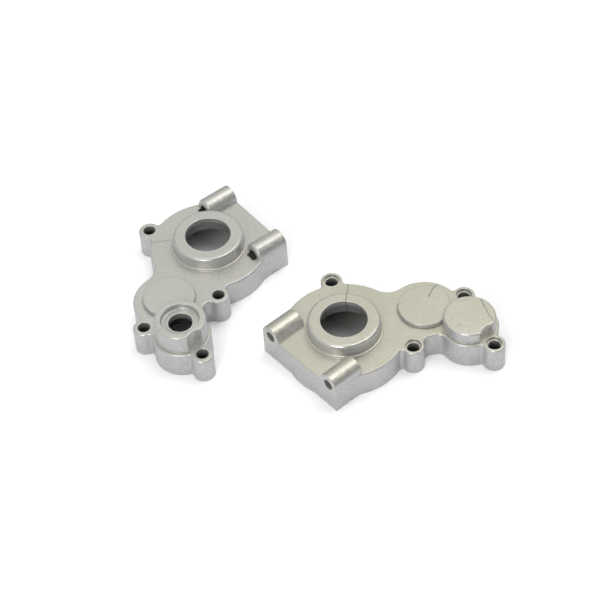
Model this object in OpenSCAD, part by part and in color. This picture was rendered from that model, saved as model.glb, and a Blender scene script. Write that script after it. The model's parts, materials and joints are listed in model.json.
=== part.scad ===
// Gearbox case moulded in two halves, lying side by side with the outer faces up.
// Each half is drawn about the axis of its bearing ring, with its mating face at z = 0
// and its end face towards -x, and the two are then laid out on one flat surface.
// All lengths are in millimetres and all angles in degrees.

/* [Case halves] */
// Height of the main outer face above the mating face
case_depth = 7.5; // [6.5:0.1:10]
// Thickness of the side walls round the gear chambers
wall_t = 1.2; // [0.9:0.05:1.5]
// Thickness of the roof between the chambers and the main outer face
roof_t = 1.6; // [1.2:0.1:2.4]

/* [Gear chambers] */
// Inside diameter of the chamber round the output gear
output_space_d = 29.3; // [27:0.1:32]
// Inside diameter of the chamber round the idler gear
idler_space_d = 16.6; // [15:0.1:18]
// Inside diameter of the chamber round the input shaft
input_space_d = 12.7; // [11.5:0.1:13.5]
// Distance from the output axis to the idler axis
output_to_idler = 21.5; // [20:0.1:22.5]
// Direction of the idler axis as seen from the output axis
idler_dir = -24.8; // [-30:0.1:-20]
// Distance from the idler axis to the input axis
idler_to_input = 12.65; // [11.5:0.05:14]
// Direction of the input axis as seen from the idler axis
input_dir = -68.9; // [-75:0.1:-60]

/* [Mounting end] */
// How far the flat end face is set in from the outer wall of the output chamber
end_inset = 0.35; // [0.1:0.05:0.8]
// Width of the block behind the end face
block_w = 27.7; // [25:0.1:30]
// How far the output chamber bulges out of the end face at the mating face
bulge_out = 0.6; // [0.3:0.05:1]
// Height at which the bulge fades into the end face
bulge_h = 5.2; // [3:0.1:6.4]
// How far the bulge is set off towards the screw boss beside the idler
bulge_shift = 1; // [0:0.1:3]
// Length of the small notch at the mating face
notch_l = 1.9; // [1:0.1:3]
// Height of the notch
notch_h = 0.6; // [0.3:0.1:1]
// Depth of the notch into the block
notch_depth = 1.2; // [0.5:0.1:2]
// Distance from the end face to the middle of the notch
notch_from_end = 4.2; // [3:0.1:8]

/* [Mounting tubes] */
// Outside diameter of each tube
tube_d = 6; // [5:0.1:7]
// Diameter of the hole along each tube
tube_hole_d = 2.9; // [2:0.1:3.4]
// Length of each tube from the end face
tube_l = 9; // [7:0.1:11]
// How far the tubes stand proud of the sides of the block
tube_proud = 0.1; // [0.05:0.05:0.6]
// Height of the tube axis above the mating face
tube_z = 7.8; // [7.2:0.1:8.4]
// Wall left at the bottom of the blind holes in the closed half
tube_end_t = 1.5; // [1:0.1:2.5]
// Rounding of the inner ends of the through tubes on the shaft half
through_tube_round = 0.8; // [0.4:0.1:1.2]
// Rounding of the inner ends of the blind tubes on the closed half
blind_tube_round = 0.3; // [0.1:0.1:1.2]
// How far the through holes of the shaft half run on past the tubes, as grooves
groove_l = 1.2; // [0.5:0.1:2]

/* [Screw bosses] */
// Outside diameter of each screw boss
boss_d = 5.7; // [5.3:0.1:7]
// Diameter of each screw hole
screw_hole_d = 3.2; // [2.5:0.1:3.5]
// Diameter of the recess at the top of each screw hole in the closed half
screw_recess_d = 4.05; // [3.7:0.05:4.6]
// Depth of that recess
screw_recess_h = 0.9; // [0.4:0.1:2]
// Direction of the free boss as seen from the output axis
free_boss_dir = 58.9; // [50:0.1:70]
// How far the axis of the free boss stands outside the output chamber wall
free_boss_out = 1.55; // [0.8:0.05:2.2]
// Direction of the inner boss, between block and idler, as seen from the output axis
inner_boss_dir = -61.1; // [-66:0.1:-58]
// How far the axis of the inner boss stands outside the output chamber wall
inner_boss_out = 2.55; // [1.5:0.05:2.7]
// Direction of the idler boss as seen from the idler axis
idler_boss_dir = -18.6; // [-26:0.1:-10]
// How far the axis of the idler boss stands outside the idler chamber wall
idler_boss_out = 1.8; // [1:0.05:2.4]
// Direction of the far boss as seen from the input axis
far_boss_dir = -89.7; // [-100:0.1:-80]
// How far the axis of the far boss stands outside the input chamber wall
far_boss_out = 1.35; // [1:0.05:1.8]

/* [Fillets between bosses and chambers] */
// Fillet beside the free boss, towards the block
free_boss_fillet_block = 0.8; // [0.4:0.1:3]
// Fillet beside the free boss, towards the idler
free_boss_fillet_idler = 1.3; // [0.4:0.1:4]
// Fillet in the waist between output and idler chambers
waist_fillet = 5; // [2:0.1:8]
// Fillet between idler chamber and idler boss
idler_boss_fillet = 0.8; // [0.4:0.1:2]
// Fillet between idler boss and input chamber
input_side_fillet = 1; // [0.4:0.1:2]
// Fillets on both sides of the far boss
far_boss_fillet = 0.85; // [0.4:0.05:2]
// Fillet between idler and input chambers
chamber_fillet = 2; // [1:0.1:4]
// Fillet between inner boss and idler chamber
inner_boss_fillet_idler = 1.8; // [0.8:0.1:3]
// Fillet between inner boss and output chamber
inner_boss_fillet_block = 0.9; // [0.4:0.1:2]
// Blend between the sides of the block and the output chamber
block_blend = 5; // [2:0.5:8]

/* [Output bearing ring] */
// Outside diameter of the output bearing
output_bearing_d = 15; // [14:0.1:16]
// Depth of the output bearing seat above the roof's underside
output_seat_h = 4; // [3:0.1:5]
// Wall round the output bearing seat
ring_wall = 1.9; // [1.2:0.1:2.4]
// Lip above the output bearing
ring_lip_t = 1.5; // [0.8:0.1:2]
// Opening in the lip
ring_opening_d = 12; // [9:0.1:13]
// Width of the low step round the foot of the ring
ring_step_w = 0.7; // [0.3:0.1:1.2]
// Height of that step
ring_step_h = 0.3; // [0.1:0.05:0.6]

/* [Idler pad] */
// Diameter of the raised pad over the idler axis
pad_d = 13.6; // [12.6:0.1:15]
// Height of the pad above the main outer face
pad_h = 1.3; // [0.8:0.1:1.8]
// Width of the groove round the foot of the pad
pad_groove_w = 0.25; // [0.15:0.05:0.4]
// Depth of that groove
pad_groove_h = 0.2; // [0.1:0.05:0.4]
// Depth of the idler bearing seat above the roof's underside
pad_seat_h = 2; // [1:0.1:2.2]

/* [Input shaft bearing seats] */
// Outside diameter of the small bearings for the input and idler shafts
small_bearing_d = 10; // [9:0.1:10.4]
// Depth of the input bearing seats above the roof's underside
input_seat_h = 4; // [3:0.1:4.2]

/* [Open hub of the shaft half] */
// Outside diameter of the open hub
hub_d = 13.4; // [12.8:0.1:14]
// Height of the open hub above the main outer face
hub_h = 5.7; // [5.3:0.1:7]
// Depth of the round recess in the top of the hub
hub_recess_h = 1.6; // [0.8:0.1:2]
// Diameter of the shaft hole in the hub
shaft_hole_d = 6.2; // [5.2:0.1:8]
// Rounding of the hub where the screwdriver scallop cuts it
hub_scallop_round = 0.5; // [0.3:0.1:0.8]

/* [Closed cap of the closed half] */
// Outside diameter of the closed cap
cap_d = 13.5; // [12.8:0.1:14]
// Height of the closed cap above the main outer face
cap_h = 3.4; // [3.2:0.1:5]
// Rounding of the cap where the screwdriver scallop cuts it
cap_scallop_round = 1; // [0.5:0.1:1.2]

/* [Screwdriver scallop] */
// Radius of the scallop about the far boss
scallop_r = 3.35; // [3.1:0.05:3.6]
// Width of the ledge left at the foot of the scallop
scallop_ledge_w = 0.35; // [0.1:0.05:0.4]
// Height of that ledge
scallop_ledge_h = 0.3; // [0.1:0.05:0.6]

/* [Lay-out of the two halves] */
// Clear gap across the row between the closest bosses of the two halves
pair_gap = 10.5; // [3:0.5:40]
// How far the ring of the shaft half is shifted back towards the block end
pair_shift = 5.8; // [0:0.1:8]
// How far the shaft half is turned out of line
pair_turn = -3.1; // [-6:0.1:6]

/* [Hidden] */
$fn = 96;
// Overlap by which a cut runs past the face that it opens
over = 0.5;
// How deep a rounding reaches into the walls that it touches, so that it meets each
// along one clear edge
bite = 0.002;
case_grey = [0.72, 0.72, 0.71];

output_r = output_space_d / 2 + wall_t;
idler_r = idler_space_d / 2 + wall_t;
input_r = input_space_d / 2 + wall_t;
boss_r = boss_d / 2;
tube_r = tube_d / 2;
roof_z = case_depth - roof_t;
end_x = output_r - end_inset;
tube_y = block_w / 2 + tube_proud - tube_r;

// A point at distance r from c in direction a
function polar(c, r, a) = c + r * [cos(a), sin(a)];

output_at = [0, 0];
idler_at = polar(output_at, output_to_idler, idler_dir);
input_at = polar(idler_at, idler_to_input, input_dir);
free_boss_at = polar(output_at, output_r + free_boss_out, free_boss_dir);
inner_boss_at = polar(output_at, output_r + inner_boss_out, inner_boss_dir);
idler_boss_at = polar(idler_at, idler_r + idler_boss_out, idler_boss_dir);
far_boss_at = polar(input_at, input_r + far_boss_out, far_boss_dir);
BOSSES = [free_boss_at, inner_boss_at, idler_boss_at, far_boss_at];

// Every round wall of the outline, as [centre, radius]
output_wall = [output_at, output_r];
idler_wall = [idler_at, idler_r];
input_wall = [input_at, input_r];
free_boss = [free_boss_at, boss_r];
inner_boss = [inner_boss_at, boss_r];
idler_boss = [idler_boss_at, boss_r];
far_boss = [far_boss_at, boss_r];
WALLS = [output_wall, idler_wall, input_wall, free_boss, inner_boss, idler_boss, far_boss];

// Every fillet of the outline, as [wall, wall, radius, side]: side 1 lies to the left
// of the line from the first wall's centre to the second's, and side -1 to its right
FILLETS = [
    [output_wall, free_boss, free_boss_fillet_block, 1],
    [output_wall, free_boss, free_boss_fillet_idler, -1],
    [output_wall, idler_wall, waist_fillet, 1],
    [idler_wall, idler_boss, idler_boss_fillet, 1],
    [idler_boss, input_wall, input_side_fillet, 1],
    [input_wall, far_boss, far_boss_fillet, 1],
    [input_wall, far_boss, far_boss_fillet, -1],
    [idler_wall, input_wall, chamber_fillet, -1],
    [inner_boss, idler_wall, inner_boss_fillet_idler, -1],
    [output_wall, inner_boss, inner_boss_fillet_block, -1],
];

// Centre of the circle that lies p from a and q from b, on the given side of a to b
function meeting_point(a, p, b, q, side) =
    let (d = norm(b - a), u = (b - a) / d)
    let (along = (d * d + p * p - q * q) / (2 * d))
    let (off = sqrt(max(0, p * p - along * along)))
    a + along * u + side * off * [-u.y, u.x];

// Concave fillet of radius f in the corner between two round walls
module fillet_web(wall_a, wall_b, f, side) {
    void_at = meeting_point(wall_a[0], wall_a[1] + f, wall_b[0], wall_b[1] + f, side);
    difference() {
        linear_extrude(case_depth) polygon([wall_a[0], wall_b[0], void_at]);
        translate([void_at.x, void_at.y, -over])
            cylinder(r = f + bite, h = case_depth + 2 * over);
    }
}

// Soft blend from one side of the block into the output chamber wall
module block_side_blend(side) {
    void_y = block_w / 2 + block_blend;
    void_x = -sqrt(max(0, pow(output_r + block_blend, 2) - void_y * void_y));
    difference() {
        linear_extrude(case_depth)
            polygon([output_at, [void_x, 0], [void_x, side * void_y]]);
        translate([void_x, side * void_y, -over])
            cylinder(r = block_blend + bite, h = case_depth + 2 * over);
    }
}

// Solid outline of a half, from the mating face to the main outer face
module outline() {
    difference() {
        union() {
            for (w = WALLS)
                translate([w[0].x, w[0].y, 0]) cylinder(r = w[1], h = case_depth);
            for (f = FILLETS) fillet_web(f[0], f[1], f[2], f[3]);
            linear_extrude(case_depth) polygon([output_at, inner_boss_at, idler_at]);
            linear_extrude(case_depth) polygon([idler_at, input_at, idler_boss_at]);
            for (side = [-1, 1]) block_side_blend(side);
        }
        // The output chamber stops at the end face
        translate([-end_x - output_r, -output_r, -over])
            cube([output_r, 2 * output_r, case_depth + 2 * over]);
    }
    translate([-end_x, -block_w / 2, 0]) cube([end_x, block_w, case_depth]);
}

// Shallow tapered bulge where the output chamber meets the end face
module end_bulge() {
    intersection() {
        translate([0, -bulge_shift, 0])
            cylinder(r1 = end_x + bulge_out,
                     r2 = end_x - bulge_out * (case_depth - bulge_h) / bulge_h, h = case_depth);
        translate([-end_x - 2 * bulge_out, -block_w / 2, 0])
            cube([3 * bulge_out, block_w, case_depth]);
    }
}

// Raised ring round the output bearing, with the low step at its foot
module bearing_ring() {
    ring_r = output_bearing_d / 2 + ring_wall;
    cylinder(r = ring_r + ring_step_w, h = case_depth + ring_step_h);
    cylinder(r = ring_r, h = roof_z + output_seat_h + ring_lip_t);
}

// Raised pad over the idler axis
module idler_pad() {
    translate([idler_at.x, idler_at.y, 0]) cylinder(d = pad_d, h = case_depth + pad_h);
}

// Fine groove round the foot of the idler pad
module idler_pad_groove() {
    translate([idler_at.x, idler_at.y, case_depth - pad_groove_h])
        difference() {
            cylinder(r = pad_d / 2 + pad_groove_w, h = pad_groove_h + over);
            translate([0, 0, -over]) cylinder(d = pad_d, h = pad_groove_h + 3 * over);
        }
}

// Round boss on the input axis, scalloped to let a screwdriver reach the far boss
module input_boss(d, h, corner_round) {
    cut_z = case_depth + scallop_ledge_h;
    cut_h = h - scallop_ledge_h + over;
    difference() {
        translate([input_at.x, input_at.y, 0]) cylinder(d = d, h = case_depth + h);
        translate([far_boss_at.x, far_boss_at.y, cut_z]) cylinder(r = scallop_r, h = cut_h);
        translate([far_boss_at.x, far_boss_at.y, case_depth])
            cylinder(r = scallop_r - scallop_ledge_w, h = h);
        for (side = [-1, 1])
            translate([0, 0, cut_z]) scallop_corner(d / 2, corner_round, side, cut_h);
    }
}

// Waste outside the rounding of one upright edge between boss and scallop
module scallop_corner(r, corner_round, side, h) {
    at = meeting_point(input_at, r - corner_round, far_boss_at, scallop_r + corner_round, side);
    reach = corner_round + over;
    out = reach * (at - input_at) / norm(at - input_at);
    across = reach * (far_boss_at - at) / norm(far_boss_at - at);
    difference() {
        linear_extrude(h) polygon([at, at + out, at + out + across, at + across]);
        translate([at.x, at.y, -over]) cylinder(r = corner_round + bite, h = h + 2 * over);
    }
}

// Room for the gears, open at the mating face
module gear_space() {
    for (s = [[output_at, output_space_d], [idler_at, idler_space_d], [input_at, input_space_d]])
        translate([s[0].x, s[0].y, -over]) cylinder(d = s[1], h = roof_z + over);
}

// Seat and opening for the output bearing
module output_seat() {
    cylinder(d = output_bearing_d, h = roof_z + output_seat_h);
    cylinder(d = ring_opening_d, h = roof_z + output_seat_h + ring_lip_t + over);
}

// Seat for the idler bearing, under the pad
module idler_seat() {
    translate([idler_at.x, idler_at.y, 0]) cylinder(d = small_bearing_d, h = roof_z + pad_seat_h);
}

// Seat for the input shaft bearing
module input_seat() {
    translate([input_at.x, input_at.y, 0]) cylinder(d = small_bearing_d, h = roof_z + input_seat_h);
}

// Shaft hole through the hub and the round recess in its top
module hub_opening() {
    top_z = case_depth + hub_h;
    translate([input_at.x, input_at.y, 0]) {
        cylinder(d = shaft_hole_d, h = top_z + over);
        translate([0, 0, top_z - hub_recess_h])
            cylinder(d = small_bearing_d, h = hub_recess_h + over);
    }
}

// Through holes of the screw bosses
module screw_holes() {
    for (b = BOSSES)
        translate([b.x, b.y, -over]) cylinder(d = screw_hole_d, h = case_depth + 2 * over);
}

// Recesses at the tops of the screw holes
module screw_recesses() {
    for (b = BOSSES)
        translate([b.x, b.y, case_depth - screw_recess_h])
            cylinder(d = screw_recess_d, h = screw_recess_h + over);
}

// Puts a shape that starts at the end face and runs along +z onto both tube axes
module on_tube_axes() {
    for (side = [-1, 1])
        translate([-end_x, side * tube_y, tube_z]) rotate([0, 90, 0]) children();
}

// Tube with its inner end rounded
module tube(end_round) {
    rotate_extrude()
        union() {
            square([tube_r, tube_l - end_round]);
            square([tube_r - end_round, tube_l]);
            intersection() {
                translate([tube_r - end_round, tube_l - end_round]) circle(r = end_round);
                square([tube_r, tube_l]);
            }
        }
}

// Small notch in the side of the block, at the mating face
module side_notch() {
    translate([-end_x + notch_from_end - notch_l / 2, -block_w / 2 - over, -over])
        cube([notch_l, notch_depth + over, notch_h + over]);
}

// Shaft half: open hub, through holes in the tubes
module shaft_half() {
    color(case_grey)
        difference() {
            union() {
                difference() {
                    union() {
                        outline();
                        end_bulge();
                        bearing_ring();
                        idler_pad();
                        input_boss(hub_d, hub_h, hub_scallop_round);
                    }
                    gear_space();
                    idler_pad_groove();
                }
                on_tube_axes() tube(through_tube_round);
            }
            output_seat();
            idler_seat();
            input_seat();
            hub_opening();
            screw_holes();
            side_notch();
            on_tube_axes()
                translate([0, 0, -over]) cylinder(d = tube_hole_d, h = tube_l + groove_l + over);
        }
}

// Closed half: closed cap, recessed screw holes, blind holes in the tubes
module closed_half() {
    color(case_grey)
        difference() {
            union() {
                difference() {
                    union() {
                        outline();
                        end_bulge();
                        bearing_ring();
                        idler_pad();
                        input_boss(cap_d, cap_h, cap_scallop_round);
                    }
                    gear_space();
                    idler_pad_groove();
                }
                on_tube_axes() tube(blind_tube_round);
            }
            output_seat();
            idler_seat();
            input_seat();
            screw_holes();
            screw_recesses();
            side_notch();
            on_tube_axes()
                translate([0, 0, -over])
                    cylinder(d = tube_hole_d, h = tube_l - tube_end_t + over);
        }
}

// Place of the shaft half's ring axis as seen from the closed half's
pair_at = [-pair_shift, free_boss_at.y + boss_r + pair_gap + boss_r - inner_boss_at.y];

// Where a point of the shaft half, which is a mirror image, comes to lie in the lay-out
function laid_out(p) =
    pair_at + [-p.x * cos(pair_turn) - p.y * sin(pair_turn),
               -p.x * sin(pair_turn) + p.y * cos(pair_turn)];

// Outline of both halves in the lay-out, as circles [centre, radius] and block corners
CORNERS = [[-end_x, -block_w / 2], [-end_x, block_w / 2]];
LAID_CIRCLES = concat(
    WALLS, [for (w = WALLS) [laid_out(w[0]), w[1]]],
    [for (c = CORNERS) [c, 0]], [for (c = CORNERS) [laid_out(c), 0]]);
low_x = min([for (c = LAID_CIRCLES) c[0].x - c[1]]);
high_x = max([for (c = LAID_CIRCLES) c[0].x + c[1]]);
low_y = min([for (c = LAID_CIRCLES) c[0].y - c[1]]);
high_y = max([for (c = LAID_CIRCLES) c[0].y + c[1]]);
middle = [(low_x + high_x) / 2, (low_y + high_y) / 2];

// The origin is the middle of the lay-out, on the surface that the halves lie on
module place_closed_half() {
    translate([-middle.x, -middle.y, 0]) closed_half();
}

module place_shaft_half() {
    translate([pair_at.x - middle.x, pair_at.y - middle.y, 0])
        rotate([0, 0, pair_turn]) mirror([1, 0, 0]) shaft_half();
}

place_shaft_half();  // shaft_half
place_closed_half();  // closed_half
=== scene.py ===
"""Gearbox case moulded in two halves, lying side by side on a white surface.

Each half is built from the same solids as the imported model, with the small roundings of
a moulded part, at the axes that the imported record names. The halves are drawn in
millimetres in their own frame and then laid into the row frame, which is in metres.
"""

import json
import logging
import math
from collections.abc import Iterable
from dataclasses import dataclass
from enum import Enum

import bpy
from mathutils import Matrix, Vector


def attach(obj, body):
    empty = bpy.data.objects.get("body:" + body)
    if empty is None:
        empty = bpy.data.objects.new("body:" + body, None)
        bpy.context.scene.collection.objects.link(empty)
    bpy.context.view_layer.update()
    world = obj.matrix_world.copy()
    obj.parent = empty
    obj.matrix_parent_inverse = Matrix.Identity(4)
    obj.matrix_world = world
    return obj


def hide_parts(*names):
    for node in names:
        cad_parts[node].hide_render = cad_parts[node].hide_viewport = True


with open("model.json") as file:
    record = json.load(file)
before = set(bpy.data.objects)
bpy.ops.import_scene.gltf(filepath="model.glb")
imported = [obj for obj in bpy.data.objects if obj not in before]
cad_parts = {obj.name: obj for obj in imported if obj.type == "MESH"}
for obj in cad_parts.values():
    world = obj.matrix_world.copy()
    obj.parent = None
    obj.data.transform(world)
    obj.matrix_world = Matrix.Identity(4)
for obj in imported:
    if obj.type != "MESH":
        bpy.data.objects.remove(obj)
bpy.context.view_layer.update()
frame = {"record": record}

LOG = logging.getLogger("gearbox_case")
MM = 0.001
# How far the mouth of a cutter stands clear of the face that it opens, in millimetres
CLEAR_OF_FACE = 0.004
# How far a cutter runs past the face that it opens, in millimetres
CUT_PAST = 1.0
# Heights closer than this count as the same, in millimetres
FLAT = 0.001
# Points closer than this are merged, in millimetres
WELD = 0.0001
# How far a mouth spreads, as a share of its rounding
MOUTH_SPREAD = 1.02
# Faces that meet at less than this are shaded as one
SMOOTH_BELOW = math.radians(30)

# The middle of a texture's colour, about which it swings
TEXTURE_MIDDLE = (0.5, 0.5, 0.5)
WHITE = (1.0, 1.0, 1.0, 1.0)

Colour = tuple[float, float, float, float]
Inputs = dict[str | int, object]


class Side(Enum):
    """The two halves of the case, by what covers the input shaft."""

    SHAFT = "shaft"
    CLOSED = "closed"


class Joining(Enum):
    """How a solid changes the body that it is combined with."""

    ADDED = "UNION"
    CUT_OUT = "DIFFERENCE"
    CLIPPED = "INTERSECT"


@dataclass(frozen=True)
class HalfFrame:
    """The own frame of one half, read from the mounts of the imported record."""

    side: Side

    def mount(self, name: str) -> dict:
        """Gives one mount of this half.

        Args:
            name: The mount's name without the half's name.

        Returns:
            The mount's entry in the record.
        """
        wanted = f"{self.side.value}_{name}"
        return next(m for m in frame["record"]["mounts"] if m["name"] == wanted)

    def inward(self) -> Vector:
        """Returns the direction from the end face into the half."""
        return -Vector(self.mount("free_side_tube_hole")["axis"])

    def across(self) -> Vector:
        """Returns the direction from the inner tube to the free tube."""
        free = Vector(self.mount("free_side_tube_hole")["pos_m"])
        return (free - Vector(self.mount("inner_side_tube_hole")["pos_m"])).normalized()

    def ring_foot(self) -> Vector:
        """Returns the point of the surface below the ring, in the row frame."""
        seat = self.mount("output_seat")["pos_m"]
        return Vector((seat[0], seat[1], 0.0))

    def into_row(self) -> Matrix:
        """Gives the place of the half in the row.

        Returns:
            The matrix from the half's own frame to the row frame.
        """
        origin = Vector(self.mount("output_seat")["pos_m"])
        inward, across = self.inward() * MM, self.across() * MM
        return Matrix((
            (inward.x, across.x, 0.0, origin.x),
            (inward.y, across.y, 0.0, origin.y),
            (0.0, 0.0, MM, 0.0),
            (0.0, 0.0, 0.0, 1.0)))

    def centre(self, name: str) -> Vector:
        """Gives the axis of one mount in the half's own frame.

        Args:
            name: The mount's name without the half's name.

        Returns:
            Inward and across from the ring's axis, at height 0.
        """
        step = Vector(self.mount(name)["pos_m"]) - Vector(self.mount("output_seat")["pos_m"])
        return Vector((step.dot(self.inward()), step.dot(self.across()), 0.0)) / MM


@dataclass(frozen=True)
class Corner:
    """A corner of a profile, with the radius that rounds it."""

    radius: float
    height: float
    rounding: float = 0.0


@dataclass(frozen=True)
class Wall:
    """A round wall of an outline."""

    centre: Vector
    radius: float

    def meeting_point(self, other: "Wall", gap: float, side: int) -> Vector:
        """Finds the centre of a circle that touches this wall and another from outside.

        Args:
            other: The other wall.
            gap: The circle's radius.
            side: 1 to the left of the line from this wall to the other, -1 to its right.

        Returns:
            The circle's centre.
        """
        step = other.centre - self.centre
        length = step.length
        near, far = self.radius + gap, other.radius + gap
        along = (length * length + near * near - far * far) / (2 * length)
        off = math.sqrt(max(0.0, near * near - along * along))
        left = Vector((-step.y, step.x, 0.0)) / length
        return self.centre + along * step / length + side * off * left


@dataclass(frozen=True)
class Facets:
    """How finely round shapes are divided, in millimetres and radians.

    The turns are the numbers of steps of turned solids, each from a radius on.
    """

    fine_radius: float = 0.6
    fine_step: float = math.radians(18)
    steps: tuple[float, float] = (math.radians(3.75), math.radians(12))
    chord: float = 0.5
    turns: tuple[tuple[float, int], ...] = ((9.0, 96), (4.0, 72), (0.0, 48))
    rim_segments: int = 5

    def arc_step(self, radius: float) -> float:
        """Chooses the angle between the points of an arc.

        Args:
            radius: The arc's radius.

        Returns:
            The angle in radians.
        """
        if radius < self.fine_radius:
            return self.fine_step
        least, greatest = self.steps
        return max(least, min(greatest, self.chord / radius))

    def turn_steps(self, radius: float) -> int:
        """Returns how many steps a turned solid with this radius has."""
        return next(count for limit, count in self.turns if radius > limit)


FACETS = Facets()


def arc(centre: Vector, start: Vector, end: Vector, turn: int) -> list[Vector]:
    """Lays points along an arc, without its last one.

    Args:
        centre: The arc's centre.
        start: Its first point.
        end: Its last point.
        turn: 1 for an arc to the left, -1 for one to the right.

    Returns:
        The points.
    """
    radius = (start - centre).length
    first = math.atan2(start.y - centre.y, start.x - centre.x)
    last = math.atan2(end.y - centre.y, end.x - centre.x)
    sweep = ((last - first) * turn) % (2 * math.pi)
    count = max(2, math.ceil(sweep / FACETS.arc_step(radius)))
    angles = [first + turn * sweep * i / count for i in range(count)]
    return [centre + radius * Vector((math.cos(a), math.sin(a), 0.0)) for a in angles]


def rounded(corners: list[Corner]) -> list[tuple[float, float]]:
    """Rounds the corners of a profile.

    Args:
        corners: The profile's corners in order.

    Returns:
        The points of the rounded profile.
    """
    points: list[tuple[float, float]] = []
    for i, corner in enumerate(corners):
        here = Vector((corner.radius, corner.height, 0.0))
        if not corner.rounding:
            points.append((here.x, here.y))
            continue
        before, after = corners[i - 1], corners[(i + 1) % len(corners)]
        back = (Vector((before.radius, before.height, 0.0)) - here).normalized()
        ahead = (Vector((after.radius, after.height, 0.0)) - here).normalized()
        half = back.angle(ahead) / 2
        reach = corner.rounding / math.tan(half)
        middle = here + (back + ahead).normalized() * corner.rounding / math.sin(half)
        start, end = here + back * reach, here + ahead * reach
        turn = 1 if back.x * ahead.y - back.y * ahead.x < 0 else -1
        laid = arc(middle, start, end, turn) + [end]
        points.extend((p.x, p.y) for p in laid)
    return points


def mouth(radius: float, level: float, rounding: float) -> list[Corner]:
    """Gives the corners with which a cutter leaves a rounded mouth.

    Args:
        radius: Radius of the hole below its mouth.
        level: Height of the face that the hole opens in.
        rounding: Rounding of the mouth.

    Returns:
        The corners, from the hole's wall to above the face.
    """
    top = level + CLEAR_OF_FACE
    wide = radius + MOUTH_SPREAD * rounding
    return [Corner(radius, top, rounding), Corner(wide, top), Corner(wide, level + CUT_PAST),
            Corner(0.0, level + CUT_PAST)]


def entry(radius: float) -> list[Corner]:
    """Returns the corners with which a cutter enters through the mating face."""
    return [Corner(0.0, -CUT_PAST), Corner(radius, -CUT_PAST)]


def disc(radius: float, bottom: float, top: float, rounding: float) -> list[Corner]:
    """Gives the profile of a disc with a rounded upper rim.

    Args:
        radius: The disc's radius.
        bottom: Height of its lower face.
        top: Height of its upper face.
        rounding: Rounding of the upper rim.

    Returns:
        The profile's corners.
    """
    return [Corner(0.0, bottom), Corner(radius, bottom), Corner(radius, top, rounding),
            Corner(0.0, top)]


def rectangle(left: float, right: float, low: float, high: float) -> list[Vector]:
    """Lays the outline of a rectangle, anticlockwise.

    Args:
        left: Its lowest x.
        right: Its highest x.
        low: Its lowest y.
        high: Its highest y.

    Returns:
        The outline's points.
    """
    corners = ((left, low), (right, low), (right, high), (left, high))
    return [Vector((x, y, 0.0)) for x, y in corners]


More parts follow.
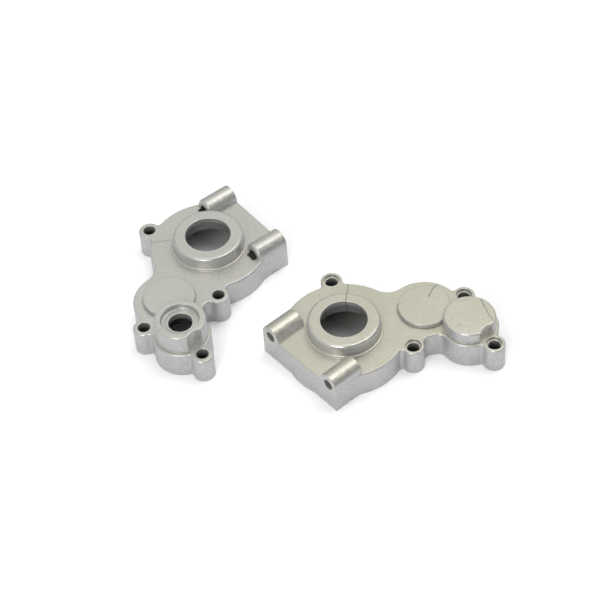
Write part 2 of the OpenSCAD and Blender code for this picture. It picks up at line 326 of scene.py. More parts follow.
@dataclass
class Workbench:
    """Makes, turns, cuts and joins the solids that a half is built from.

    The facets of each turned solid start a little further round than those of the last,
    so that no two solids meet point on point.
    """

    seam: float = 0.0
    seam_step: float = math.radians(0.73)

    def loop(self, name: str, points: list[Vector], filled: bool) -> bpy.types.Object:
        """Lays a closed loop of edges.

        Args:
            name: The new object's name.
            points: The loop's points.
            filled: Whether a face fills the loop.

        Returns:
            The object, with all of it selected.
        """
        bpy.ops.object.select_all(action="DESELECT")
        kind = "NGON" if filled else "NOTHING"
        bpy.ops.mesh.primitive_circle_add(vertices=len(points), fill_type=kind)
        piece = bpy.context.object
        piece.name = name
        piece.data.vertices.foreach_set("co", [c for p in points for c in p])
        piece.data.update()
        return piece

    def turned(self, name: str, corners: list[Corner], base: Matrix) -> bpy.types.Object:
        """Turns a solid from a profile round its axis.

        Args:
            name: The new object's name.
            corners: The profile's corners, each by radius and height.
            base: Matrix whose third column is the axis.

        Returns:
            The solid.
        """
        profile = rounded(corners)
        points = [Vector((r, 0.0, z)) for r, z in profile]
        piece = self.loop(name, points, filled=False)
        steps = FACETS.turn_steps(max(r for r, _ in profile))
        bpy.ops.object.mode_set(mode="EDIT")
        bpy.ops.mesh.select_all(action="SELECT")
        bpy.ops.mesh.spin(steps=steps, angle=2 * math.pi, center=(0, 0, 0), axis=(0, 0, 1))
        bpy.ops.mesh.select_all(action="SELECT")
        bpy.ops.mesh.remove_doubles(threshold=WELD)
        bpy.ops.mesh.delete_loose(use_verts=True, use_edges=True, use_faces=False)
        bpy.ops.object.mode_set(mode="OBJECT")
        self.seam += self.seam_step
        return self.placed(piece, base @ Matrix.Rotation(self.seam, 4, "Z"))

    def placed(self, piece: bpy.types.Object, base: Matrix) -> bpy.types.Object:
        """Moves a solid's mesh to its place and turns its faces outwards.

        Args:
            piece: The solid.
            base: Where it goes.

        Returns:
            The solid.
        """
        piece.data.transform(base)
        bpy.context.view_layer.objects.active = piece
        bpy.ops.object.mode_set(mode="EDIT")
        bpy.ops.mesh.select_all(action="SELECT")
        bpy.ops.mesh.normals_make_consistent(inside=False)
        bpy.ops.object.mode_set(mode="OBJECT")
        return piece

    def prism(self, name: str, outline: list[Vector], bottom: float, top: float,
              rounding: float) -> bpy.types.Object:
        """Raises a solid from an outline and rounds its upper rim.

        Args:
            name: The new object's name.
            outline: The outline's points.
            bottom: Height of its lower face.
            top: Height of its upper face.
            rounding: Rounding of the upper rim.

        Returns:
            The solid.
        """
        points = [Vector((p.x, p.y, bottom)) for p in outline]
        piece = self.loop(name, points, filled=True)
        bpy.ops.object.mode_set(mode="EDIT")
        bpy.ops.mesh.select_all(action="SELECT")
        rise = {"value": (0.0, 0.0, top - bottom)}
        bpy.ops.mesh.extrude_region_move(TRANSFORM_OT_translate=rise)
        bpy.ops.mesh.select_all(action="DESELECT")
        bpy.ops.mesh.select_mode(type="EDGE")
        bpy.ops.object.mode_set(mode="OBJECT")
        if rounding:
            vertices = piece.data.vertices
            for edge in piece.data.edges:
                edge.select = all(vertices[i].co.z > top - FLAT for i in edge.vertices)
            bpy.ops.object.mode_set(mode="EDIT")
            bpy.ops.mesh.bevel(offset=rounding, segments=FACETS.rim_segments,
                               clamp_overlap=False, loop_slide=False)
            bpy.ops.object.mode_set(mode="OBJECT")
        return self.placed(piece, Matrix())

    def combine(self, body: bpy.types.Object, tool: bpy.types.Object, how: Joining) -> None:
        """Applies a solid to the body and takes the solid away.

        Args:
            body: The body, which is changed.
            tool: The solid.
            how: What the solid does to the body.
        """
        step = body.modifiers.new(tool.name, "BOOLEAN")
        step.operation = how.value
        step.solver = "EXACT"
        step.object = tool
        bpy.context.view_layer.objects.active = body
        bpy.ops.object.modifier_apply(modifier=step.name)
        bpy.data.objects.remove(tool)

    def together(self, solids: list[bpy.types.Object]) -> bpy.types.Object:
        """Makes one object of solids that stand clear of each other.

        Args:
            solids: The solids.

        Returns:
            The object that holds them all.
        """
        bpy.ops.object.select_all(action="DESELECT")
        for solid in solids:
            solid.select_set(True)
        bpy.context.view_layer.objects.active = solids[0]
        bpy.ops.object.join()
        return solids[0]


@dataclass(frozen=True)
class CaseSizes:
    """Sizes that both halves share, in millimetres.

    The fillets are those of the outline's hollow corners, in the order of its walls. The
    roots of the pad and the ledge start above the roof's lower side by these lengths, and
    the boss's root below the plate's upper side. The notch has its two ends, its depth and
    its height.
    """

    plate: float = 7.5
    roof_below: float = 5.9
    output_wall: float = 15.85
    idler_wall: float = 9.5
    input_wall: float = 7.55
    boss: float = 2.85
    fillets: tuple[float, ...] = (0.9, 1.8, 2.0, 0.85, 0.85, 1.0, 0.8, 5.0, 1.3, 0.8)
    end_face: float = 15.5
    block_half: float = 13.85
    block_blend: float = 5.0
    bulge_out: float = 0.6
    bulge_top: float = 6.6
    bulge_fade: float = 5.2
    bulge_shift: float = 1.0
    notch: tuple[float, float, float, float] = (-12.25, -10.35, 1.2, 0.6)
    output_space: float = 14.65
    idler_space: float = 8.3
    input_space: float = 6.35
    ring: float = 9.4
    ring_top: float = 11.4
    ring_step: float = 10.1
    ring_step_top: float = 7.8
    ring_opening: float = 6.0
    output_seat: float = 7.5
    output_seat_top: float = 9.9
    pad: float = 6.8
    pad_top: float = 8.8
    pad_root: float = 0.2
    pad_groove: float = 7.05
    pad_groove_floor: float = 7.3
    small_seat: float = 5.0
    idler_seat_top: float = 7.9
    input_seat_top: float = 9.9
    screw_hole: float = 1.6
    screw_recess: float = 2.025
    screw_recess_floor: float = 6.6
    shaft_hole: float = 3.1
    shaft_lip: float = 3.7
    shaft_lip_top: float = 11.8
    hub_recess: float = 5.0
    hub_recess_floor: float = 11.6
    scallop: float = 3.35
    boss_root: float = 0.5
    ledge: float = 3.0
    ledge_top: float = 7.8
    ledge_root: float = 0.4
    foot_out: float = 0.02
    tube: float = 3.0
    tube_hole: float = 1.45
    tube_height: float = 7.8
    tube_length: float = 9.0
    flush: float = 0.01


@dataclass(frozen=True)
class Roundings:
    """Roundings of edges and inner corners that both halves share, in millimetres."""

    plate: float = 0.45
    ring_step: float = 0.12
    ring_foot: float = 0.4
    ring: float = 0.85
    ring_opening: float = 0.18
    ring_lip: float = 0.08
    groove: float = 0.05
    pad: float = 0.25
    ledge: float = 0.06
    space: float = 0.3
    seat: float = 0.15
    tube_foot: float = 0.12
    tube_hole: float = 0.1
    screw_hole: float = 0.12
    screw_step: float = 0.06
    screw_recess_foot: float = 0.12
    screw_recess: float = 0.14
    shaft_hole: float = 0.1
    shaft_lip: float = 0.08
    hub_recess_foot: float = 0.35
    hub_recess: float = 0.15


@dataclass(frozen=True)
class HalfSizes:
    """Sizes in which the two halves differ, in millimetres."""

    boss_radius: float
    boss_top: float
    boss_rim: float
    scallop_corner: float
    tube_end: float
    tube_hole_length: float


HALF_SIZES = {
    Side.SHAFT: HalfSizes(boss_radius=6.7, boss_top=13.2, boss_rim=0.4, scallop_corner=0.5,
                          tube_end=0.8, tube_hole_length=10.2),
    Side.CLOSED: HalfSizes(boss_radius=6.75, boss_top=10.9, boss_rim=0.5, scallop_corner=1.0,
                           tube_end=0.3, tube_hole_length=7.5),
}
TUBES = ("free", "inner")
SCREW_BOSSES = ("free", "inner", "idler", "far")


@dataclass
class MouldedHalf:
    """One moulded half of the case, with its sizes and the roundings of its edges."""

    side: Side
    sizes: CaseSizes = CaseSizes()
    edges: Roundings = Roundings()

    def __post_init__(self) -> None:
        """Finds the half's frame and its own sizes."""
        self.place = HalfFrame(self.side)
        self.own = HALF_SIZES[self.side]
        self.bench = Workbench()

    @property
    def node(self) -> str:
        """Returns the name of the node that the half stands for."""
        return f"{self.side.value}_half"

    def dress(self, piece: bpy.types.Object) -> None:
        """Gives the finished half its plastic."""
        piece.data.materials.append(PLASTICS[self.side].build())

    def upright(self, name: str) -> Matrix:
        """Returns the place of an upright solid on one of the half's axes."""
        return Matrix.Translation(self.place.centre(name))

    def build(self) -> bpy.types.Object:
        """Builds the half as one solid.

        Returns:
            The finished object.
        """
        body = self.plate()
        self.raise_forms(body)
        self.hollow_out(body)
        self.add_tubes(body)
        self.open_up(body)
        return self.finish(body)

    def outline(self) -> list[Vector]:
        """Lays the outline of the half, anticlockwise from a corner of the end face.

        Returns:
            The outline's points.
        """
        s = self.sizes
        output = Wall(Vector((0.0, 0.0, 0.0)), s.output_wall)
        idler = Wall(self.place.centre("idler_seat"), s.idler_wall)
        shaft = Wall(self.place.centre("input_seat"), s.input_wall)
        free, inner, beside, far = (
            Wall(self.place.centre(f"{name}_screw_hole"), s.boss) for name in SCREW_BOSSES)
        walls = [output, inner, idler, shaft, far, shaft, beside, idler, output, free, output]
        blend_y = s.block_half + s.block_blend
        blend_x = -math.sqrt((s.output_wall + s.block_blend) ** 2 - blend_y ** 2)
        low, high = Vector((blend_x, -blend_y, 0.0)), Vector((blend_x, blend_y, 0.0))
        voids = [low] + [a.meeting_point(b, gap, -1)
                         for a, b, gap in zip(walls, walls[1:], s.fillets)] + [high]
        points = [Vector((-s.end_face, -s.block_half, 0.0))]
        here = Vector((blend_x, -s.block_half, 0.0))
        for wall, before, after in zip(walls, voids, voids[1:]):
            enter = wall.centre + wall.radius * (before - wall.centre).normalized()
            leave = wall.centre + wall.radius * (after - wall.centre).normalized()
            points += arc(before, here, enter, -1) + arc(wall.centre, enter, leave, 1)
            here = leave
        last = Vector((blend_x, s.block_half, 0.0))
        points += arc(high, here, last, -1) + [last, Vector((-s.end_face, s.block_half, 0.0))]
        return points

    def plate(self) -> bpy.types.Object:
        """Raises the solid body of the half and the bulge of its end face.

        Returns:
            The body.
        """
        s = self.sizes
        body = self.bench.prism("body", self.outline(), 0.0, s.plate, self.edges.plate)
        taper = s.bulge_out / s.bulge_fade
        foot = s.end_face + s.bulge_out
        head = foot - taper * s.bulge_top
        cone = [Corner(0.0, 0.0), Corner(foot, 0.0), Corner(head, s.bulge_top),
                Corner(0.0, s.bulge_top)]
        bulge = self.bench.turned("bulge", cone, Matrix.Translation((0.0, -s.bulge_shift, 0.0)))
        reach = 2 * s.bulge_out
        sides = s.block_half - s.bulge_out / 2
        corners = rectangle(-s.end_face - reach, -s.end_face + reach, -sides, sides)
        slab = self.bench.prism("slab", corners, -CUT_PAST, s.plate, 0.0)
        self.bench.combine(bulge, slab, Joining.CLIPPED)
        self.bench.combine(body, bulge, Joining.ADDED)
        return body

    def raise_forms(self, body: bpy.types.Object) -> None:
        """Adds the bearing ring, the idler pad in its groove and the boss on the input axis.

        Args:
            body: The half so far.
        """
        s, r, own = self.sizes, self.edges, self.own
        ring = [Corner(0.0, s.roof_below), Corner(s.ring_step, s.roof_below),
                Corner(s.ring_step, s.ring_step_top, r.ring_step),
                Corner(s.ring, s.ring_step_top, r.ring_foot),
                Corner(s.ring, s.ring_top, r.ring), Corner(0.0, s.ring_top)]
        self.bench.combine(body, self.bench.turned("ring", ring, Matrix()), Joining.ADDED)
        groove = [Corner(0.0, s.pad_groove_floor), Corner(s.pad_groove, s.pad_groove_floor)]
        groove += mouth(s.pad_groove, s.plate, r.groove)
        at = self.upright("idler_seat")
        self.bench.combine(body, self.bench.turned("groove", groove, at), Joining.CUT_OUT)
        pad = disc(s.pad, s.roof_below + s.pad_root, s.pad_top, r.pad)
        self.bench.combine(body, self.bench.turned("pad", pad, at), Joining.ADDED)
        foot = self.scalloped(own.boss_radius + s.foot_out, s.ledge, own.scallop_corner)
        base = self.bench.prism("foot", foot, s.roof_below + s.ledge_root, s.ledge_top, r.ledge)
        self.bench.combine(body, base, Joining.ADDED)
        upper = self.scalloped(own.boss_radius, s.scallop, own.scallop_corner)
        boss = self.bench.prism("boss", upper, s.plate - s.boss_root, own.boss_top, own.boss_rim)
        self.bench.combine(body, boss, Joining.ADDED)

    def scalloped(self, radius: float, cut: float, corner: float) -> list[Vector]:
        """Lays the outline of the boss on the input axis, cut by the scallop.

        Args:
            radius: The boss's radius.
            cut: Radius of the scallop about the far boss.
            corner: Rounding of both corners.

        Returns:
            The outline's points, anticlockwise.
        """
        centre = self.place.centre("input_seat")
        far = self.place.centre("far_screw_hole")
        inner = Wall(centre, radius - 2 * corner)
        first, second = (inner.meeting_point(Wall(far, cut), corner, side) for side in (1, -1))
        points: list[Vector] = []
        outer = [centre + radius * (c - centre).normalized() for c in (first, second)]
        hollow = [far + cut * (c - far).normalized() for c in (first, second)]
        points += arc(centre, outer[0], outer[1], 1)
        points += arc(second, outer[1], hollow[1], 1)
        points += arc(far, hollow[1], hollow[0], -1)
        points += arc(first, hollow[0], outer[0], 1)
        return points

    def hollow_out(self, body: bpy.types.Object) -> None:
        """Cuts the room for the gears.

        Args:
            body: The half so far.
        """
        s = self.sizes
        for name, radius in (("output_seat", s.output_space), ("idler_seat", s.idler_space),
                             ("input_seat", s.input_space)):
            profile = disc(radius, -CUT_PAST, s.roof_below, self.edges.space)
            space = self.bench.turned(name, profile, self.upright(name))
            self.bench.combine(body, space, Joining.CUT_OUT)

    def tube_place(self, side: str) -> Matrix:
        """Gives the place of a solid on a tube's axis, with its foot in the end face.

        Args:
            side: Which tube, free or inner.

        Returns:
            The matrix that lays the solid's axis inward.
        """
        across = self.place.centre(f"{side}_side_tube_hole").y
        return Matrix((
            (0.0, 0.0, 1.0, -self.sizes.end_face),
            (0.0, 1.0, 0.0, across),
            (-1.0, 0.0, 0.0, self.sizes.tube_height),
            (0.0, 0.0, 0.0, 1.0)))

    def add_tubes(self, body: bpy.types.Object) -> None:
        """Adds both mounting tubes.

        Args:
            body: The half so far.
        """
        s = self.sizes
        for side in TUBES:
            tube = [Corner(0.0, s.flush), Corner(s.tube, s.flush, self.edges.tube_foot),
                    Corner(s.tube, s.tube_length, self.own.tube_end), Corner(0.0, s.tube_length)]
            solid = self.bench.turned(f"{side}_tube", tube, self.tube_place(side))
            self.bench.combine(body, solid, Joining.ADDED)

    def open_up(self, body: bpy.types.Object) -> None:
        """Cuts the bearing seats, the holes and the notch.

        Args:
            body: The half so far.
        """
        s, r = self.sizes, self.edges
        ring = entry(s.output_seat)
        ring += [Corner(s.output_seat, s.output_seat_top, r.seat),
                 Corner(s.ring_opening, s.output_seat_top, r.ring_lip)]
        ring += mouth(s.ring_opening, s.ring_top, r.ring_opening)
        idler = disc(s.small_seat, -CUT_PAST, s.idler_seat_top, r.seat)
        seats = {"output_seat": ring, "idler_seat": idler, "input_seat": self.input_opening()}
        for name, profile in seats.items():
            cutter = self.bench.turned(name, profile, self.upright(name))
            self.bench.combine(body, cutter, Joining.CUT_OUT)
        holes = [
            self.bench.turned(f"{n}_hole", self.screw_hole(), self.upright(f"{n}_screw_hole"))
            for n in SCREW_BOSSES]
        for side in TUBES:
            hole = [Corner(0.0, self.own.tube_hole_length),
                    Corner(s.tube_hole, self.own.tube_hole_length)]
            hole += [Corner(c.radius, -c.height, c.rounding)
                     for c in mouth(s.tube_hole, -s.flush, r.tube_hole)]
            holes.append(self.bench.turned(f"{side}_bore", hole, self.tube_place(side)))
        self.bench.combine(body, self.bench.together(holes), Joining.CUT_OUT)
        near, far, depth, height = s.notch
        corners = rectangle(near, far, -s.block_half - CUT_PAST / 2, -s.block_half + depth)
        notch = self.bench.prism("notch", corners, -CUT_PAST, height, 0.0)
        self.bench.combine(body, notch, Joining.CUT_OUT)

    def screw_hole(self) -> list[Corner]:
        """Gives the profile of a screw hole, with its recess on the closed half.

        Returns:
            The profile's corners.
        """
        s, r = self.sizes, self.edges
        if self.side is Side.SHAFT:
            return entry(s.screw_hole) + mouth(s.screw_hole, s.plate, r.screw_hole)
        step = [Corner(s.screw_hole, s.screw_recess_floor, r.screw_step),
                Corner(s.screw_recess, s.screw_recess_floor, r.screw_recess_foot)]
        return entry(s.screw_hole) + step + mouth(s.screw_recess, s.plate, r.screw_recess)

    def input_opening(self) -> list[Corner]:
        """Gives the profile of the opening on the input axis.

        It is a blind seat on the closed half. On the other, the shaft hole with its low lip
        and the recess follow above the seat.

        Returns:
            The profile's corners.
        """
        s, r = self.sizes, self.edges
        seat = disc(s.small_seat, -CUT_PAST, s.input_seat_top, r.seat)
        if self.side is Side.CLOSED:
            return seat
        return seat[:-1] + [
            Corner(s.shaft_hole, s.input_seat_top),
            Corner(s.shaft_hole, s.shaft_lip_top, r.shaft_hole),
            Corner(s.shaft_lip, s.shaft_lip_top, r.shaft_lip),
            Corner(s.shaft_lip, s.hub_recess_floor, r.shaft_lip),
            Corner(s.hub_recess, s.hub_recess_floor, r.hub_recess_foot),
            *mouth(s.hub_recess, self.own.boss_top, r.hub_recess)]

    def finish(self, body: bpy.types.Object) -> bpy.types.Object:
        """Smooths the shading and lays the half into the row frame.

        Args:
            body: The complete solid.

        Returns:
            The finished object.
        """
        body.name = f"{self.side.value}_half_moulding"
        bpy.ops.object.select_all(action="DESELECT")
        body.select_set(True)
        self.bench.placed(body, self.place.into_row())
        bpy.ops.object.shade_smooth_by_angle(angle=SMOOTH_BELOW)
        normals = body.modifiers.new("face_weights", "WEIGHTED_NORMAL")
        normals.keep_sharp = True
        bpy.ops.object.modifier_apply(modifier=normals.name)
        return body


@dataclass
class NodePen:
    """Adds nodes to a tree and joins them."""

    tree: bpy.types.NodeTree

    def feed(self, node: bpy.types.Node, inputs: Inputs) -> bpy.types.Node:
        """Gives a node its inputs.

        Args:
            node: The node.
            inputs: A value or an output for each named or numbered input.

        Returns:
            The same node.
        """
        for name, value in inputs.items():
            if isinstance(value, bpy.types.NodeSocket):
                self.tree.links.new(value, node.inputs[name])
            else:
                node.inputs[name].default_value = value
        return node

    def node(self, kind: str, inputs: Inputs, **settings: object) -> bpy.types.Node:
        """Adds a node.

        Args:
            kind: The node's type.
            inputs: A value or an output for each named or numbered input.
            settings: The node's own settings.

        Returns:
            The new node.
        """
        node = self.tree.nodes.new(kind)
        for name, value in settings.items():
            setattr(node, name, value)
        return self.feed(node, inputs)

    def effect(self, effect: "type[Effect]", inputs: Inputs) -> bpy.types.NodeOutputs:
        """Places one of the shared effects and returns its outputs."""
        group = bpy.data.node_groups[effect.name]
        return self.node("ShaderNodeGroup", inputs, node_tree=group).outputs

    def number(self, kind: str, *terms: object) -> bpy.types.NodeSocket:
        """Adds a number calculation and returns its result."""
        inputs = dict(enumerate(terms))
        return self.node("ShaderNodeMath", inputs, operation=kind).outputs["Value"]

    def largest(self, masks: Iterable[bpy.types.NodeSocket]) -> bpy.types.NodeSocket:
        """Joins masks.

        Args:
            masks: The masks, of which there is one at least.

        Returns:
            The largest of them, and 0 at least.
        """
        total: object = 0.0
        for mask in masks:
            total = self.number("MAXIMUM", total, mask)
        return total

    def vector(self, kind: str, *terms: object) -> bpy.types.NodeSocket:
        """Adds a vector calculation and returns the vector that it gives."""
        inputs = dict(enumerate(terms))
        return self.node("ShaderNodeVectorMath", inputs, operation=kind).outputs["Vector"]

    def measure(self, kind: str, *terms: object) -> bpy.types.NodeSocket:
        """Adds a vector calculation and returns the number that it gives."""
        inputs = dict(enumerate(terms))
        return self.node("ShaderNodeVectorMath", inputs, operation=kind).outputs["Value"]

    def scaled(self, vector: object, factor: object) -> bpy.types.NodeSocket:
        """Scales a vector by a number and returns the result."""
        inputs = {0: vector, "Scale": factor}
        return self.node("ShaderNodeVectorMath", inputs, operation="SCALE").outputs["Vector"]

    def upward(self, vector: object) -> bpy.types.NodeSocket:
        """Returns the Z of a vector."""
        return self.node("ShaderNodeSeparateXYZ", {"Vector": vector}).outputs["Z"]

    def spread(self, value: object, low: float, high: float, first: object,
               last: object) -> bpy.types.NodeSocket:
        """Maps a range of numbers onto another, with soft ends.

        Args:
            value: The number.
            low: Where the range starts.
            high: Where it ends.
            first: What its start becomes.
            last: What its end becomes.

        Returns:
            The mapped number.
        """
        inputs = {"Value": value, "From Min": low, "From Max": high,
                  "To Min": first, "To Max": last}
        node = self.node("ShaderNodeMapRange", inputs, interpolation_type="SMOOTHSTEP")
        return node.outputs["Result"]

    def between(self, share: object, first: object, second: object) -> bpy.types.NodeSocket:
        """Mixes two numbers by the share of the second and returns the result."""
        inputs = {0: share, 2: first, 3: second}
        return self.node("ShaderNodeMix", inputs, data_type="FLOAT").outputs[0]

    def mixed(self, share: object, first: object, second: object,
              blend: str = "MIX") -> bpy.types.NodeSocket:
        """Mixes two colours by the share of the second and returns the result."""
        inputs = {0: share, 6: first, 7: second}
        return self.node("ShaderNodeMix", inputs, data_type="RGBA", blend_type=blend).outputs[2]

    def grey(self, tone: object) -> bpy.types.NodeSocket:
        """Returns the grey of a tone."""
        inputs = {"Red": tone, "Green": tone, "Blue": tone}
        return self.node("ShaderNodeCombineColor", inputs).outputs["Color"]


@dataclass(frozen=True)
class Effect:
    """A surface effect, kept as one node group that every material can use."""

    name: str

    def start(self, inputs: dict[str, str],
              outputs: dict[str, str]) -> tuple[NodePen, bpy.types.NodeOutputs]:
        """Starts the group with its sockets.

        Args:
            inputs: The kind of each input.
            outputs: The kind of each output.

        Returns:
            The pen for its tree, and what the group is given.
        """
        tree = bpy.data.node_groups.new(self.name, "ShaderNodeTree")
        for in_out, sockets in (("INPUT", inputs), ("OUTPUT", outputs)):
            for name, kind in sockets.items():
                tree.interface.new_socket(name=name, in_out=in_out, socket_type=f"NodeSocket{kind}")
        return NodePen(tree), tree.nodes.new("NodeGroupInput").outputs


@dataclass(frozen=True)
class PigmentFlakes(Effect):
    """Metal flakes in the plastic, each lying at its own small angle."""

    name: str = "pigment_flakes"

    def build(self) -> bpy.types.NodeTree:
        """Builds the group.

        Returns:
            The group, which puts out the brightness of the flakes and their normal.
        """
        pen, given = self.start({"Place": "Vector", "Cells": "Float", "Tilt": "Float"},
                                {"Brightness": "Float", "Normal": "Vector"})
        cells = pen.node("ShaderNodeTexVoronoi", {
            "Vector": given["Place"], "Scale": given["Cells"], "Randomness": 1.0}).outputs["Color"]
        parts = pen.node("ShaderNodeSeparateColor", {"Color": cells})
        lean = pen.scaled(pen.vector("SUBTRACT", cells, TEXTURE_MIDDLE), given["Tilt"])
        surface = pen.node("ShaderNodeNewGeometry", {}).outputs["Normal"]
        normal = pen.vector("NORMALIZE", pen.vector("ADD", surface, lean))
        pen.node("NodeGroupOutput", {"Brightness": parts.outputs["Green"], "Normal": normal})
        return pen.tree


@dataclass(frozen=True)
class CloudyTint(Effect):
    """Slow drift of tint and gloss over a moulded surface.

    Each noise has its detail and its roughness.
    """

    name: str = "cloudy_tint"
    cloud: tuple[float, float] = (3.0, 0.55)
    grain: tuple[float, float] = (2.0, 0.7)
    contrast: tuple[float, float] = (0.3, 0.7)

    def build(self) -> bpy.types.NodeTree:
        """Builds the group.

        Returns:
            The group, which puts out a soft mask and a fine grain.
        """
        pen, given = self.start({"Place": "Vector", "Cloud Size": "Float", "Grain Size": "Float"},
                                {"Cloud": "Float", "Grain": "Float"})
        noises = (("Cloud Size", self.cloud), ("Grain Size", self.grain))
        cloud, grain = (
            pen.node("ShaderNodeTexNoise", {
                "Vector": given["Place"], "Detail": detail, "Roughness": roughness,
                "Scale": pen.number("DIVIDE", 1.0, given[size])}).outputs["Fac"]
            for size, (detail, roughness) in noises)
        pen.node("NodeGroupOutput", {
            "Cloud": pen.spread(cloud, *self.contrast, 0.0, 1.0), "Grain": grain})
        return pen.tree


@dataclass(frozen=True)
class FlowMark(Effect):
    """A fine dark line or speck, mostly where streams of melt met in the mould; two of them are
    painted shade along the foot of a wall.

    It wanders by a noise with a scale and a detail, and its edge is a share of its width.
    """

    name: str = "flow_mark"
    waves: tuple[float, float] = (0.9, 2.0)
    edge: tuple[float, float] = (0.2, 1.0)
    shortest: float = 0.0001

    def build(self) -> bpy.types.NodeTree:
        """Builds the group.

        Returns:
            The group, which puts out the mask of one mark.
        """
        pen, given = self.start(
            {"Place": "Vector", "From": "Vector", "To": "Vector", "Width": "Float",
             "Wander": "Float"}, {"Mark": "Float"})
        scale, detail = self.waves
        waves = pen.node("ShaderNodeTexNoise", {
            "Vector": given["Place"], "Scale": scale, "Detail": detail}).outputs["Color"]
        sway = pen.scaled(pen.vector("SUBTRACT", waves, TEXTURE_MIDDLE), given["Wander"])
        along = pen.vector("SUBTRACT", given["To"], given["From"])
        step = pen.vector("SUBTRACT", pen.vector("ADD", given["Place"], sway), given["From"])
        length = pen.number("MAXIMUM", pen.measure("DOT_PRODUCT", along, along), self.shortest)
        share = pen.number("DIVIDE", pen.measure("DOT_PRODUCT", step, along), length)
        share = pen.number("MINIMUM", pen.number("MAXIMUM", share, 0.0), 1.0)
        off = pen.vector("SUBTRACT", step, pen.scaled(along, share))
        reach = pen.number("DIVIDE", pen.measure("LENGTH", off), given["Width"])
        pen.node("NodeGroupOutput", {"Mark": pen.spread(reach, *self.edge, 1.0, 0.0)})
        return pen.tree


@dataclass(frozen=True)
class CoreFinish(Effect):
    """Painted shade: the wall inside an opening, painted darker towards its depth for the shade
    that falls there.
    """

    name: str = "core_finish"
    edge: float = 0.05

    def build(self) -> bpy.types.NodeTree:
        """Builds the group.

        Returns:
            The group, which puts out the mask of one opening.
        """
        pen, given = self.start(
            {"Place": "Vector", "Mouth": "Vector", "Inward": "Vector", "Radius": "Float",
             "Fade": "Float", "Share": "Float"}, {"Inside": "Float"})
        step = pen.vector("SUBTRACT", given["Place"], given["Mouth"])
        depth = pen.measure("DOT_PRODUCT", step, given["Inward"])
        away = pen.measure("DISTANCE", step, pen.scaled(given["Inward"], depth))
        over = pen.number("SUBTRACT", away, given["Radius"])
        faded = pen.number("DIVIDE", depth, given["Fade"])
        share = pen.spread(faded, 0.0, 1.0, 0.0, given["Share"])
        within = pen.spread(over, 0.0, self.edge, 1.0, 0.0)
        pen.node("NodeGroupOutput", {"Inside": pen.number("MULTIPLY", within, share)})
        return pen.tree


@dataclass(frozen=True)
class PolishedRims(Effect):
    """The smoother skin on the rounded rims of the plate and of all that stands on it, with a
    painted highlight: the same rims are painted a brighter colour.

    Each rim lies between two heights in millimetres, and faces up by more than the first
    pair of slopes and less than the second.
    """

    name: str = "polished_rims"
    rims: tuple[tuple[float, float], ...] = ((7.0, 7.5), (8.5, 8.8), (10.5, 11.4), (12.8, 13.2))
    edge: float = 0.05
    least_slope: tuple[float, float] = (0.3, 0.5)
    most_slope: tuple[float, float] = (0.85, 0.97)

    def build(self) -> bpy.types.NodeTree:
        """Builds the group.

        Returns:
            The group, which puts out the mask of the rims.
        """
        pen, given = self.start({"Place": "Vector", "Facing": "Vector"}, {"Polish": "Float"})
        height, up = pen.upward(given["Place"]), pen.upward(given["Facing"])
        rims = pen.largest(
            pen.number("MULTIPLY", pen.spread(height, low, low + self.edge, 0.0, 1.0),
                       pen.spread(height, high, high + self.edge, 1.0, 0.0))
            for low, high in self.rims)
        slope = pen.number("MULTIPLY", pen.spread(up, *self.least_slope, 0.0, 1.0),
                           pen.spread(up, *self.most_slope, 1.0, 0.0))
        pen.node("NodeGroupOutput", {"Polish": pen.number("MULTIPLY", rims, slope)})
        return pen.tree


@dataclass(frozen=True)
class Opening:
    """An opening whose wall gets painted shade, in millimetres.

    Its mouth is at a height above the surface, or at the inner end where that is None.
    """

    mount: str
    radius: float
    level: float | None
    fade: float
    share: float = 1.0

    def place(self, half: HalfFrame) -> tuple[Vector, Vector]:
        """Finds the opening in the row frame.

        Args:
            half: The half that it is in.

        Returns:
            Its mouth in millimetres, and the direction into it.
        """
        mount = half.mount(self.mount)
        middle, axis = Vector(mount["pos_m"]) / MM, Vector(mount["axis"])
        if self.level is None:
            return middle - axis * mount["dims"]["length_mm"] / 2, axis
        return Vector((middle.x, middle.y, self.level)), Vector((0.0, 0.0, -1.0))


@dataclass(frozen=True)
class Mark:
    """One mark in the row frame, in millimetres: a flow mark, save the two that are painted shade
    along the foot of a wall.

    A mark without a height shows on every wall and face that it crosses. Its end lies
    higher than its start by its rise.
    """

    start: tuple[float, float]
    end: tuple[float, float]
    height: float | None
    width: float
    depth: float
    wander: float = 0.3
    rise: float = 0.0

    def ends(self) -> tuple[tuple[float, float, float], tuple[float, float, float]]:
        """Returns both ends with their height."""
        level = self.height or 0.0
        return (*self.start, level), (*self.end, level + self.rise)


